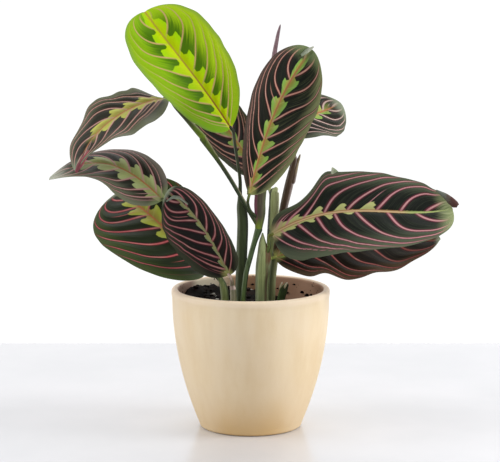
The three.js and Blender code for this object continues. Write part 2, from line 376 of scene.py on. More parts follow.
def makePot():
    piece = turned(potOutline(), pot["sides"])
    smooth(piece, 35)
    piece.data.materials.append(potFinish())
    return keep(piece, "glazedPot", "pot_ceramic", "pot")


soil = {
    "level": 90.5 * mm,
    "tilt": 0.085,
    "lump": 1.6 * mm,
    "rings": 26,
    "sides": 120,
    "bottom": 7.5 * mm,
    "corner": 6 * mm,           # height of the slanted edge at the bottom
    "wallGap": 0.4 * mm,
    "topGap": 0.3 * mm,
    "crumbs": 460,
    "crumbSize": [0.5, 2.0],    # the least, and how much more the greatest has
    "crumbGap": 2.2 * mm,       # between the crumbs' middles and the wall
    "gritEvery": 37,
    "gritSize": 1.5,
    "seed": 11,
    # in mm: x, y, height and spread of the mounds; x, y and size of the pale bits;
    # x, height and size of the crumbs stuck to the wall
    "mounds": [[-42, 24, 8, 8.5], [-29, 38, 7, 9], [3, 46, 4.5, 9], [-14, 44, 4, 9]],
    "paleBits": [[-28.6, 25, 1.5], [-26.4, 23, 1.2], [-30.6, 22, 0.9]],
    "strays": [[1.6, 99.5, 1.1], [34, 101.5, 0.9], [40, 96.5, 1.5], [44, 95, 1.7], [47, 96, 1.2],
               [-10, 101, 0.6], [-24, 100, 0.7], [21, 97, 0.8], [28, 94.5, 1.3], [9, 97, 0.6]],
}


def soilHeight(x, y):
    fx, fy = x / mm, y / mm
    swell = math.sin(fx * 0.31 + 1) * math.cos(fy * 0.27) + 0.6 * math.sin(fx * 0.13 - fy * 0.41)
    grain = 0
    for scale, layer, height in ((0.22, 3.1, 1.1), (0.6, 7.7, 0.9), (1.5, 1.3, 0.4)):
        grain += noise.noise(Vector((fx * scale, fy * scale, layer))) * height
    for moundX, moundY, height, spread in soil["mounds"]:
        grain += height * math.exp(-((fx - moundX) ** 2 + (fy - moundY) ** 2) / (2 * spread ** 2))
    return soil["level"] - soil["tilt"] * x + (0.9 * swell + grain) * mm


def makeSoil():
    edge = potInner(soil["level"]) - soil["topGap"]
    corner = soil["bottom"] + soil["corner"]
    foot = potInner(corner) - 1 * mm
    outline = [(foot - 5 * mm, soil["bottom"]), (foot, corner)]
    for z in np.linspace(corner, soil["level"] - 10 * mm, 6)[1:]:
        outline.append((potInner(z) - soil["wallGap"], z))
    for ring in range(soil["rings"], 0, -1):
        outline.append((edge * ring / soil["rings"], soil["level"]))
    piece = turned(outline, soil["sides"])
    points = coordinates(piece)
    for point in points:
        if point[2] > soil["level"] - 0.001 * mm:
            point[2] = soilHeight(point[0], point[1])
            reach = math.hypot(point[0], point[1])
            limit = potInner(point[2]) - 0.2 * mm
            if reach > limit - 1 * mm:
                point[:2] *= limit / reach
    moveTo(piece, points)
    smooth(piece, 50)
    piece.data.materials.append(soilFinish())
    addCrumbs(piece)
    return keep(piece, "pottingSoil", "potting_soil", "soil")


def chunkMesh(seed):
    bpy.ops.mesh.primitive_ico_sphere_add(subdivisions=2, radius=1)
    chunk = bpy.context.object
    points = coordinates(chunk)
    for point in points:
        point *= 1 + 0.45 * noise.noise(Vector(point) * 1.3 + Vector((seed, 0, 0)))
    faces = [tuple(face.vertices) for face in chunk.data.polygons]
    bpy.data.objects.remove(chunk)
    return points, faces


def addCrumbs(ground):
    rng = random.Random(soil["seed"])
    kinds = [chunkMesh(3.7 * i) for i in range(5)]
    verts, faces, slots = [], [], []
    limit = potInner(soil["level"]) - soil["crumbGap"]
    least, more = soil["crumbSize"]
    spots = []
    for index in range(soil["crumbs"]):
        reach, turn = rng.random() ** 0.5 * limit, rng.random() * 2 * math.pi
        x, y = reach * math.cos(turn), reach * math.sin(turn)
        size = (least + more * rng.random() ** 2.2) * mm
        grit = index % soil["gritEvery"] == 5
        size = soil["gritSize"] * mm if grit else size
        spots.append((x, y, soilHeight(x, y) + 0.25 * size, size, grit))
    for x, y, size in soil["paleBits"]:
        spots.append((x * mm, y * mm, soilHeight(x * mm, y * mm) + 0.4 * size * mm, size * mm, True))
    for x, z, size in soil["strays"]:
        y = math.sqrt((potInner(z * mm)) ** 2 - (x * mm) ** 2)
        spots.append((x * mm, y - 0.3 * size * mm, z * mm, size * mm, False))
    for index, (x, y, base, size, grit) in enumerate(spots):
        points, shape = kinds[index % len(kinds)]
        spin = rng.random() * 2 * math.pi
        stretch = 1 + 0.7 * rng.random()
        cos, sin = math.cos(spin), math.sin(spin)
        start = len(verts)
        for px, py, pz in points:
            px, pz = px * stretch, pz * 0.7
            turnedX, turnedY = px * cos - py * sin, px * sin + py * cos
            verts.append((x + size * turnedX, y + size * turnedY, base + size * pz))
        faces.extend(tuple(start + i for i in face) for face in shape)
        slots.extend([1 if grit else 0] * len(shape))
    mesh = bpy.data.meshes.new("crumbs")
    mesh.from_pydata(verts, [], faces)
    crumbs = bpy.data.objects.new("crumbs", mesh)
    scene.collection.objects.link(crumbs)
    mesh.materials.append(ground.data.materials[0])
    mesh.materials.append(gritFinish())
    mesh.polygons.foreach_set("material_index", slots)
    mesh.update()
    onlySelect(crumbs)
    bpy.ops.object.shade_smooth()
    joinTo(ground, crumbs)


def soilFinish():
    material, wire = newFinish("dampSoil")
    place = wire.place()
    grain = place.noise(420.0, 4.0, 0.65)
    patch = place.noise(90.0, 2.0)
    colour = layered("070606", (grain.eased(0.35, 0.75), "261c18"), (patch.eased(0.5, 0.8) * 0.4, "4a3328"))
    return finished(material, colour, grain.eased(0.3, 0.8, 0.75, 1.0), 0.15, (grain, 0.7, 0.001))


def gritFinish():
    material, wire = newFinish("paleGrit")
    grain = wire.place().noise(700.0)
    colour = grain.eased(0.3, 0.7).mixed("8c8880", "c9c4ba")
    return finished(material, colour, 0.85, 0.5, (grain, 0.5, 0.0005))


# every blade starts from these, and its own values come first
bladeShape = {
    "rows": 120,
    "columns": 52,
    "baseHalf": 1.3,
    "tipHalf": 0.5,
    "roundness": 2.2,
    "thickness": 0.45,          # away from the midrib
    "midribBase": 2.3,          # thickness along the midrib, at the stalk
    "midribTip": 0.7,
    "veins": 8.7,               # cells along the midrib
    "veinSpread": 0.74,         # below 1 crowds the veins towards the base
    "veinGirth": 0.8,
    "midribReach": 1.3,
    "grooveDepth": 0.5,         # the furrow on top of the midrib
    "grooveReach": 1.6,
    "pleat": 0.8,               # height of the swell between veins
    "ripple": [0.5, 2],         # height and number of the margin's waves
    "uneven": 0.008,            # share by which the margin wanders
    "ragged": 0,                # how much more it wanders near the tip
    "calm": 1,
    "dents": [],                # place, spread and depth, and 1 on the right half
    "folds": [],                # rolled over bits of the margin
    "lobes": (0.07, 0.27),      # least and greatest reach of the pale lobes, as a share of the half width
    "lobesRise": (0.0, 0.85),
    "lobesEnd": (1.0, 0.9),
    "lobesFade": None,
    "baseBand": 1,
    "lime": "86b04e",
    "lobeCore": "a89a4a",
    "marginFrom": 0.55,
    "halo": "4a1a22",
    "midrib": "b0764c",
    "midribWidth": 1.0,
    "heel": "a3a860",           # the pale place at the stalk
    "heelReach": 7.0,
    "paleFrom": 0.955,          # where the tip turns pale, partly its own pale tip and partly painted sheen
    "tipPaleAndSheen": "a3ad92",
    "young": False,
}

# millimetres and degrees, as in the plant's solid model; pairs are for the left and the right half
blades = {
    "lime_top": {
        "rib": [[-15, -7, 230], [-37, -22, 267], [-63, -28, 297], [-79, -5, 317]],
        "faces": [0.1, -1, 0.7], "twist": -13, "halves": [36, 33], "rise": [12, 12], "curl": [9, 8],
        "base": [0.57, 0.6], "belly": 0.6, "tip": [0.55, 0.55], "ripple": [0.6, 2], "stagger": 0.35,
        "slope": [[0.85, 0.8], [0.8, 0.9]], "young": True,
    },
    "upper_left": {
        "rib": [[-64, 0, 252], [-95, -23, 250], [-122, -25, 229], [-128, -46, 203]],
        "faces": [-1.4, -1, 0.1], "twist": 8, "halves": [30, 28], "rise": [4, 2], "curl": [-12, 4],
        "base": [0.6, 0.56], "belly": 0.5, "tip": [0.75, 0.75], "ripple": [1.2, 3], "stagger": 0.3,
        "slope": [[1.3, 1.0], [0.9, 0.8]], "vein": "bd9284", "dark": "28261c", "margin": "6d7058",
        "lobes": (0.16, 0.3), "lobesEnd": (0.78, 0.62), "lime": "bfc258", "veins": 6.8, "marginFrom": 0.45,
        "tipPaleAndSheen": "86987a", "paleFrom": 0.86, "scallop": [1, 0.05, 3.4, 4.0],
        "dents": [[0.22, 0.04, 0.12, 1], [0.4, 0.05, -0.07, 1]], "heel": "8a9a50", "heelReach": 16.0,
        "folds": [
            {"line": [[-118.6, -46, 217.4], [-122, -48, 212.3], [-126, -49, 206.5], [-128.4, -49, 201.8]],
             "half": [1.0, 1.9, 2.2, 1.0], "roll": 110, "tints": ("a5585c", "7c3c42")},
        ],
    },
    "front_tall": {
        "rib": [[-1, -27, 182], [9, -31, 222], [18, -40, 257], [45, -33, 291]],
        "faces": [0.85, -1, 0.87], "twist": -10, "halves": [32, 29], "rise": [17, 15], "curl": [15, 11],
        "base": [0.98, 0.44], "belly": 0.56, "tip": [0.58, 0.58], "stagger": 0.08,
        "slope": [[0.8, 1.3], [0.95, 0.45]], "vein": "c48a78", "dark": "0e140b", "margin": "8b9062",
        "marginLeft": "4c3e36", "paleFrom": 0.88, "tipPaleAndSheen": "7f9060", "lobes": (0.055, 0.25),
        "veinGirth": 0.66, "veinOut": "b58a78", "veins": 8.3,
        "folds": [
            {"line": [[37, -36.9, 286.8], [41, -36.2, 289.9], [44, -35.6, 291.6], [46.3, -35.4, 293]],
             "half": [1.0, 2.0, 1.2, 0.3], "roll": 120, "tints": ("8f9a82", "b8bca8")},
        ],
    },
    "right_large": {
        "rib": [[16, -8, 149], [67, -31, 185], [109, -43, 164], [149, -41, 174]],
        "faces": [0.2, -1, 0.8], "twist": -15, "halves": [33, 39], "rise": [6, 9], "curl": [0, -5],
        "base": [0.668, 0.35], "belly": 0.44, "tip": [0.38, 0.38], "ripple": [0.6, 2], "stagger": 0.5,
        "slope": [[0.65, 1.0], [0.74, 1.25]], "vein": "d09296", "dark": "121711", "margin": "5e6850",
        "lobes": (0.03, 0.17), "lobesRise": (0.4, 0.85), "baseBand": 3.6, "lime": "c6cc84", "veins": 8.2,
        "veinGirth": 0.84, "halo": "6e2a3c", "marginFrom": 0.42, "midrib": "b3744e", "midribCore": "dcc293",
        "midribWidth": 1.7, "dents": [[0.18, 0.129, 0.458, 0], [0.328, 0.046, -0.208, 0]],
        "lobesFade": (0.4, 0.6), "ragged": 5, "paleFrom": 0.9, "tipPaleAndSheen": "90a068", "tipLines": "c3ca98",
        "heel": "c6c088", "heelReach": 9.0, "ribEnd": ("8fa05a", "b9c67c"), "lobeCore": "c0bb7c",
        "folds": [
            {"line": [[137.8, -32, 186.2], [143.8, -35.8, 183], [147.4, -39.2, 179.8], [150.6, -41.4, 177.3],
                      [153, -41.8, 176]],
             "half": [0.6, 2.3, 3.5, 3.4, 1.6], "roll": 130, "tints": ("72796c", "4e2c26")},
            {"line": [[63.4, -9.6, 195], [62.6, -9.6, 197.6], [61.3, -9.4, 200.4]],
             "half": [3.6, 2.3, 0.4], "roll": 60, "tints": ("8f9a7c", "bfc6a8")},
        ],
    },
    "back_right": {
        "rib": [[28, 10, 222], [39, 18, 240], [48, 42, 232], [70, 51, 243]],
        "faces": [0.1, -1, 0.7], "twist": 6, "halves": [21, 27], "rise": [2, 6], "curl": [2, 6],
        "base": [0.55, 0.55], "belly": 0.52, "tip": [0.83, 0.55], "ripple": [0.8, 2], "stagger": 0.4,
        "slope": [[0.7, 0.8], [0.7, 0.8]], "vein": "c8aea4", "dark": "1e1e16", "margin": "606852",
        "veins": 6.2, "veinSpread": 0.95, "veinGirth": 0.75, "lobesEnd": (0.9, 0.7), "paleFrom": 0.85,
    },
    "mid_left": {
        "rib": [[-66, -17, 177], [-94, -19, 207], [-117, -16, 214], [-151, -19, 193]],
        "faces": [-1, -1, 1.5], "twist": 15, "halves": [27, 26], "rise": [10, -13], "curl": [6, -12],
        "base": [0.54, 0.51], "belly": 0.5, "tip": [0.72, 0.72], "stagger": 0.35,
        "slope": [[0.8, 0.8], [0.8, 0.8]], "vein": "bd908a", "dark": "1d2016", "margin": "857d72",
        "marginLeft": "777c62", "lobes": (0.2, 0.4), "lobesEnd": (0.86, 0.58), "lime": "adbb7e",
        "veins": 7.0, "marginFrom": 0.35, "tipPaleAndSheen": "b4b8a6", "paleFrom": 0.78, "heel": "8fa06a",
        "heelReach": 22, "lobeCore": "9aa263",
    },
    "low_left": {
        "rib": [[-34, 3, 122], [-60, -6, 147], [-77, 0, 168.5], [-103, 27, 176]],
        "faces": [-0.2, -1, 1.8], "twist": -20, "halves": [52, 36], "rise": [10, 8], "curl": [-7, 5],
        "base": [0.49, 0.55], "belly": 0.51, "tip": [0.58, 0.58], "stagger": 0.3, "calm": 0.3,
        "slope": [[0.41, 0.54], [0.45, 0.54]], "vein": "c45c5e", "dark": "19240e", "margin": "4a5a2e",
        "lobes": (0.08, 0.27), "lime": "b8c24c", "veins": 7.6, "veinSpread": 0.95, "midrib": "c87850",
    },
    "front_left": {
        "rib": [[-16, -31, 122], [-31, -34, 152], [-41, -50, 175], [-62, -49, 187]],
        "faces": [-0.65, -1, 0.15], "twist": -8, "halves": [28, 26], "rise": [14, 14], "curl": [9, 20],
        "base": [0.46, 0.56], "belly": 0.5, "tip": [0.52, 0.52], "stagger": 0.3,
        "slope": [[0.8, 1.0], [0.9, 0.8]], "vein": "ac6c6c", "dark": "110b09", "margin": "3e4230",
        "lobes": (0.02, 0.09), "lime": "87946a", "veinGirth": 0.74, "veins": 7.6, "veinSpread": 0.9,
        "midrib": "8d8a62",
        "folds": [
            # the pale grey tints are a painted highlight along the curled crease
            {"line": [[-46, -51, 178.5], [-52, -52, 183.5], [-57, -52, 184], [-62, -50, 180.5]],
             "half": [0.5, 1.4, 1.5, 0.5], "roll": 140, "tints": ("8d9380", "6f7868")},
        ],
    },
    "low_right": {
        "rib": [[18, -4, 131], [57, 1, 145], [100, 6, 135], [144, 1, 145]],
        "faces": [0.2, -1, 0.95], "twist": -4, "halves": [32, 33], "rise": [8, 9], "curl": [5, 0],
        "base": [0.55, 0.5], "belly": 0.47, "tip": [0.77, 0.77], "ripple": [1.6, 2.5], "stagger": 0.5,
        "slope": [[0.6, 0.9], [0.6, 0.9]], "vein": "b06058", "dark": "171209", "margin": "5c4a34",
        "lobes": (0.03, 0.12), "lobesEnd": (0.72, 0.58), "veinEnd": "86483e", "veinGirth": 0.75,
        "veins": 7.5, "scallop": [1, 0.05, 3.5, 4.24], "dents": [[0.28, 0.06, 0.1, 1], [0.8, 0.1, 0.12, 1]],
    },
    "back": {
        "rib": [[6, 25, 191], [-10, 34, 214], [-27, 41, 235], [-37, 29, 257]],
        "faces": [-0.5, -1, -0.45], "twist": 4, "halves": [28, 28], "rise": [0, 10], "curl": [-15, 8],
        "base": [0.56, 0.55], "belly": 0.59, "tip": [0.63, 0.63], "stagger": 0.4,
        "slope": [[0.7, 0.8], [0.7, 0.8]], "vein": "b48672", "dark": "17130b", "margin": "3e4426",
    },
}
blades = {name: {**bladeShape, **leaf} for name, leaf in blades.items()}


def unit(vectors):
    return vectors / np.linalg.norm(vectors, axis=-1, keepdims=True)


def bezier(p, t):
    return (1 - t) ** 3 * p[0] + 3 * (1 - t) ** 2 * t * p[1] + 3 * (1 - t) * t ** 2 * p[2] + t ** 3 * p[3]


def ribAt(leaf, along):
    # points and directions at even distances along the midrib's curve
    p = np.array(leaf["rib"], float)
    t = np.linspace(0, 1, 401)[:, None]
    steps = np.linalg.norm(np.diff(bezier(p, t), axis=0), axis=1)
    run = np.concatenate([[0], np.cumsum(steps)])
    at = np.interp(along * run[-1], run, t[:, 0])[:, None]
    slope = 3 * (1 - at) ** 2 * (p[1] - p[0]) + 6 * (1 - at) * at * (p[2] - p[1])
    slope = slope + 3 * at ** 2 * (p[3] - p[2])
    return bezier(p, at), unit(slope), run[-1]


def sided(leaf, key, right):
    return np.where(right, leaf[key][1], leaf[key][0])


def halfWidth(leaf, along, right):
    belly, power = leaf["belly"], leaf["roundness"]
    towardsBase = np.clip(1 - along / belly, 0, 1) ** power
    towardsTip = np.clip((along - belly) / (1 - belly), 0, 1) ** power
    baseSide = (1 - towardsBase) ** sided(leaf, "base", right)
    tipSide = (1 - towardsTip) ** sided(leaf, "tip", right)
    outline = np.where(along < belly, baseSide, tipSide)
    least = leaf["baseHalf"] * (1 - along) + leaf["tipHalf"] * along
    full = sided(leaf, "halves", right)
    for at, spread, depth, side in leaf["dents"]:
        outline = outline * (1 - (right == side) * depth * np.exp(-(((along - at) / spread) ** 2)))
    if "scallop" in leaf:
        side, amount, count, phase = leaf["scallop"]
        outline = outline * (1 + (right == side) * amount * np.sin(2 * np.pi * count * along + phase))
    uneven = np.sin(31 * along + 2 * right + full) + 0.6 * np.sin(53 * along + 5 * right) - 1
    uneven = uneven * (1 + leaf["ragged"] * step(0.8, 0.95, along)) * leaf["calm"]
    outline = outline * (1 + leaf["uneven"] * uneven * np.sqrt(np.clip(outline, 0, 1)))
    return np.maximum(full * outline, least), full


def bladeSurface(leaf, along, across):
    centre, tangent, length = ribAt(leaf, along)
    face = unit(np.array(leaf["faces"], float))
    normal = unit(face - (tangent @ face)[:, None] * tangent)
    turn = np.radians(leaf["twist"]) * (along - 0.5)
    side = np.cross(tangent, normal)
    normal = normal * np.cos(turn)[:, None] + side * np.sin(turn)[:, None]
    side = np.cross(tangent, normal)
    right = across >= 0
    reach = np.abs(across)
    width, full = halfWidth(leaf, along, right)
    fullness = width / full
    rise = sided(leaf, "rise", right)
    curl = sided(leaf, "curl", right)
    steps = 10
    point = centre.copy()
    for i in range(steps):
        slope = np.radians(rise + curl * reach * (i + 0.5) / steps * fullness)
        run = width * reach / steps
        point += (np.sign(across) * run * np.cos(slope))[:, None] * side
        point += (run * np.sin(slope))[:, None] * normal
    lean = np.radians(rise + curl * reach * fullness)
    outward = side * np.where(right, 1, -1)[:, None]
    tilted = normal * np.cos(lean)[:, None] - outward * np.sin(lean)[:, None]
    height, waves = leaf["ripple"]
    wave = np.sin(2 * np.pi * (waves * along + 0.25 + 0.5 * right))
    point += (height * reach ** 2 * fullness * wave)[:, None] * normal
    return point, tilted, reach * width, length


def veinCount(leaf, along, reach, right, length):
    # whole numbers lie on the veins, which leave the midrib forwards and bend to the tip
    slopes = np.array(leaf["slope"], float)[right.astype(int)]
    first, sweep = slopes[:, 0], slopes[:, 1]
    spread = np.mean(leaf["halves"]) / length
    early = 0.55 + 0.45 * np.clip(along / 0.35, 0, 1)
    origin = along - spread * early * (first * reach + sweep * reach ** 4)
    count = leaf["veins"] * np.sign(origin) * np.abs(origin) ** leaf["veinSpread"]
    wander = 0.10 * np.sin(9 * along + 3 * right) + 0.07 * np.sin(17 * along + 2 * reach)
    return count + wander + np.where(right, 0, leaf["stagger"]), origin


def closerAtEnds(x):
    # from -0.5 to 0.5 becomes from 0 to 1, with the rows closer near both ends
    return 0.5 + 0.5 * np.sin(np.pi * np.clip(x, -0.5, 0.5))


def makeBlade(name, leaf):
    rows, columns = leaf["rows"], leaf["columns"]
    bpy.ops.mesh.primitive_grid_add(x_subdivisions=rows, y_subdivisions=columns, size=1)
    piece = bpy.context.object
    flat = coordinates(piece)
    along = closerAtEnds(flat[:, 0])
    across = np.clip(-2 * flat[:, 1], -1, 1)
    across[np.abs(across) < 1e-5] = 0
    point, normal, distance, length = bladeSurface(leaf, along, across)
    reach = np.abs(across)
    right = across >= 0
    count, origin = veinCount(leaf, along, reach, right, length)
    swell = np.sin(np.pi * count) ** 2
    calm = step(0.0, 0.15, reach) * (1 - step(0.75, 1.0, reach)) * step(-0.02, 0.06, origin)
    calm = calm * (1 - step(0.8, 0.98, along))
    groove = -leaf["grooveDepth"] * np.exp(-(distance / leaf["grooveReach"]) ** 2) * step(0.0, 0.05, along)
    point += ((leaf["pleat"] * swell * calm) + groove)[:, None] * normal
    moveTo(piece, point * mm)
    storeMaps(piece, leaf, flat, length)
    thicken(piece, along, distance)
    smooth(piece, 70)
    piece.data.materials[0] = bladeFinish(name, leaf)
    piece.data.materials[1] = underFinish(name, leaf)
    for fold in leaf["folds"]:
        addFold(piece, name, fold)
    return keep(piece, "blade_" + name, "leaf_lime" if leaf["young"] else "leaf_dark", "leaf_" + name)


foldShape = {"rows": 14, "columns": 8, "thickness": 0.4, "towardsViewer": [0.0, -1.0, 0.15]}


def addFold(piece, name, fold):
    # a rolled over bit of the margin, as a strip with a curled section
    rows, columns = foldShape["rows"], foldShape["columns"]
    bpy.ops.mesh.primitive_grid_add(x_subdivisions=rows, y_subdivisions=columns, size=1)
    strip = bpy.context.object
    flat = coordinates(strip)
    line = np.array(fold["line"], float)
    at = (flat[:, 0] + 0.5) * (len(line) - 1)
    knots = np.arange(len(line))
    centre = np.stack([np.interp(at, knots, line[:, axis]) for axis in range(3)], axis=1)
    half = np.interp(at, knots, fold["half"])
    run = unit(line[-1] - line[0])
    toViewer = np.array(foldShape["towardsViewer"])
    face = unit(toViewer - (toViewer @ run) * run)
    side = np.cross(run, face)
    turn = np.radians(fold["roll"]) * flat[:, 1]
    radius = half / math.radians(fold["roll"] / 2)
    point = centre + (radius * np.sin(turn))[:, None] * side + (radius * (np.cos(turn) - 1))[:, None] * face
    moveTo(strip, point * mm)
    solid = strip.modifiers.new("solid", "SOLIDIFY")
    solid.thickness = foldShape["thickness"] * mm
    solid.offset = 0
    applyAll(strip)
    strip.data.materials.append(foldFinish(name, fold))
    smooth(strip, 60)
    joinTo(piece, strip)


def foldFinish(name, fold):
    material, wire = newFinish("rolled_" + name)
    place = wire.place()
    x = place.split()[0]
    grain = place.noise(500.0)
    ends = [fold["line"][0][0] * mm, fold["line"][-1][0] * mm]
    along = (x - ends[0]) / (ends[1] - ends[0])
    colour = (along + (grain - 0.5) * 0.5).eased(0.2, 0.8).mixed(*fold["tints"])
    return finished(material, colour, 0.45 + 0.2 * grain, 0.35, (grain, 0.4, 0.0006))


# the maps hold numbers from 0 to 1, so counts and millimetres are divided by these
mapScale = {"veins": 20, "spacing": 40, "rib": 60}


def storeMaps(piece, leaf, flat, length):
    # per face corner, because the veins of the two halves don't meet at the midrib
    mesh = piece.data
    corners = cornerVertices(mesh)
    middle = flat[corners].reshape(-1, 4, 3).mean(axis=1)[:, 1]
    right = np.repeat(middle < 0, 4)
    along = closerAtEnds(flat[corners, 0])
    reach = np.clip(np.abs(2 * flat[corners, 1]), 0, 1)
    reach[reach < 1e-5] = 0
    count, origin = veinCount(leaf, along, reach, right, length)
    width = halfWidth(leaf, along, right)[0]
    small = 1e-3
    alongCount = veinCount(leaf, along + small, reach, right, length)[0]
    outCount = veinCount(leaf, along, reach + small, right, length)[0]
    perAlong = (alongCount - count) / small / length
    perOut = (outCount - count) / small / np.maximum(width, 2)
    spacing = 1 / np.maximum(np.hypot(perAlong, perOut), 0.02)
    writeMap(mesh, "place", along, np.where(right, 0.5 + 0.5 * reach, 0.5 - 0.5 * reach))
    nodes = veinCount(leaf, along, reach * 0, right, length)[0]
    writeMap(mesh, "veins", count / mapScale["veins"], np.clip(spacing / mapScale["spacing"], 0, 1))
    writeMap(mesh, "rib", reach * width / mapScale["rib"], np.clip(origin, -0.5, 1) * 0.5 + 0.25)
    writeMap(mesh, "nodes", nodes / mapScale["veins"], along)


def writeMap(mesh, name, x, y):
    layer = mesh.uv_layers.get(name) or mesh.uv_layers.new(name=name)
    layer.data.foreach_set("uv", np.stack([x, y], axis=1).ravel())


def thicken(piece, along, distance):
    onlySelect(piece)
    shape = bladeShape
    rib = shape["midribBase"] * (1 - along) + shape["midribTip"] * along
    depth = shape["thickness"] + (rib - shape["thickness"]) * np.exp(-(distance / shape["midribReach"]) ** 2)
    group = piece.vertex_groups.new(name="depth")
    for index, value in enumerate(depth / shape["midribBase"]):
        group.add([index], float(value), "REPLACE")
    piece.data.materials.append(None)
    piece.data.materials.append(None)
    solid = piece.modifiers.new("solid", "SOLIDIFY")
    solid.thickness = shape["midribBase"] * mm
    solid.offset = -1
    solid.vertex_group = "depth"
    solid.material_offset = 1
    solid.material_offset_rim = 0
    applyAll(piece)
    piece.vertex_groups.clear()


def mapOf(wire, name):
    return wire.node("ShaderNodeUVMap", {"uv_map": name}).split()


def veinPattern(wire):
    along, side, _ = mapOf(wire, "place")
    count, spacing, _ = mapOf(wire, "veins")
    rib, origin, _ = mapOf(wire, "rib")
    node = mapOf(wire, "nodes")[0] * mapScale["veins"]
    right = wire.math("GREATER_THAN", side, 0.5)
    count = count * mapScale["veins"]
    cell = wire.math("FLOOR", count)
    part = count - cell
    away = wire.math("MINIMUM", part, 1 - part) * spacing * mapScale["spacing"]
    settings = {"noise_dimensions": "2D"}
    dice = wire.node("ShaderNodeTexWhiteNoise", settings, {"Vector": wire.vector(cell, right * 7)})
    return SimpleNamespace(
        along=along, right=right, part=part, count=count, dice=dice, away=away,
        reach=(side * 2 - 1).absolute(), past=node - cell, rib=rib * mapScale["rib"],
        spacing=spacing * mapScale["spacing"], origin=(origin - 0.25) * 2)


def lobeBand(wire, p, low, high, rise, feather, fade=None, baseBand=1):
    # pale lobes: each widens from its vein's foot and is cut off square before the next one
    size = p.dice.eased(0.0, 1.0, 0.62, 1.22)
    taper = p.along.eased(0.0, 0.10, 0.6, 1.0) * p.along.eased(1.0, 0.75, 0.35, 1.0)
    core = 1.0
    if fade:
        # past the middle only some lobes are left, and the pale line along the midrib ends
        late = p.along.eased(*fade)
        size = size * (1 - late * p.dice.eased(0.55, 0.45))
        core = 1 - late * 0.8
    rough = (feather - 0.5) * 1.1
    if baseBand != 1:
        low = low * p.along.eased(0.08, 0.32, baseBand, 1.0)
    height = (low + (high - low) * p.past.eased(*rise) * size) * taper
    teeth = wire.math("PINGPONG", p.rib / high + 0.35, 0.28) * 0.32
    outer = (height - p.rib + rough).eased(-0.3, 0.3)
    square = (0.99 - teeth - p.past).eased(-0.025, 0.025)
    core = (low * taper * core - p.rib + rough * 0.5).eased(-0.3, 0.3)
    return wire.math("MAXIMUM", outer * square, core), (p.rib / height).clamped()


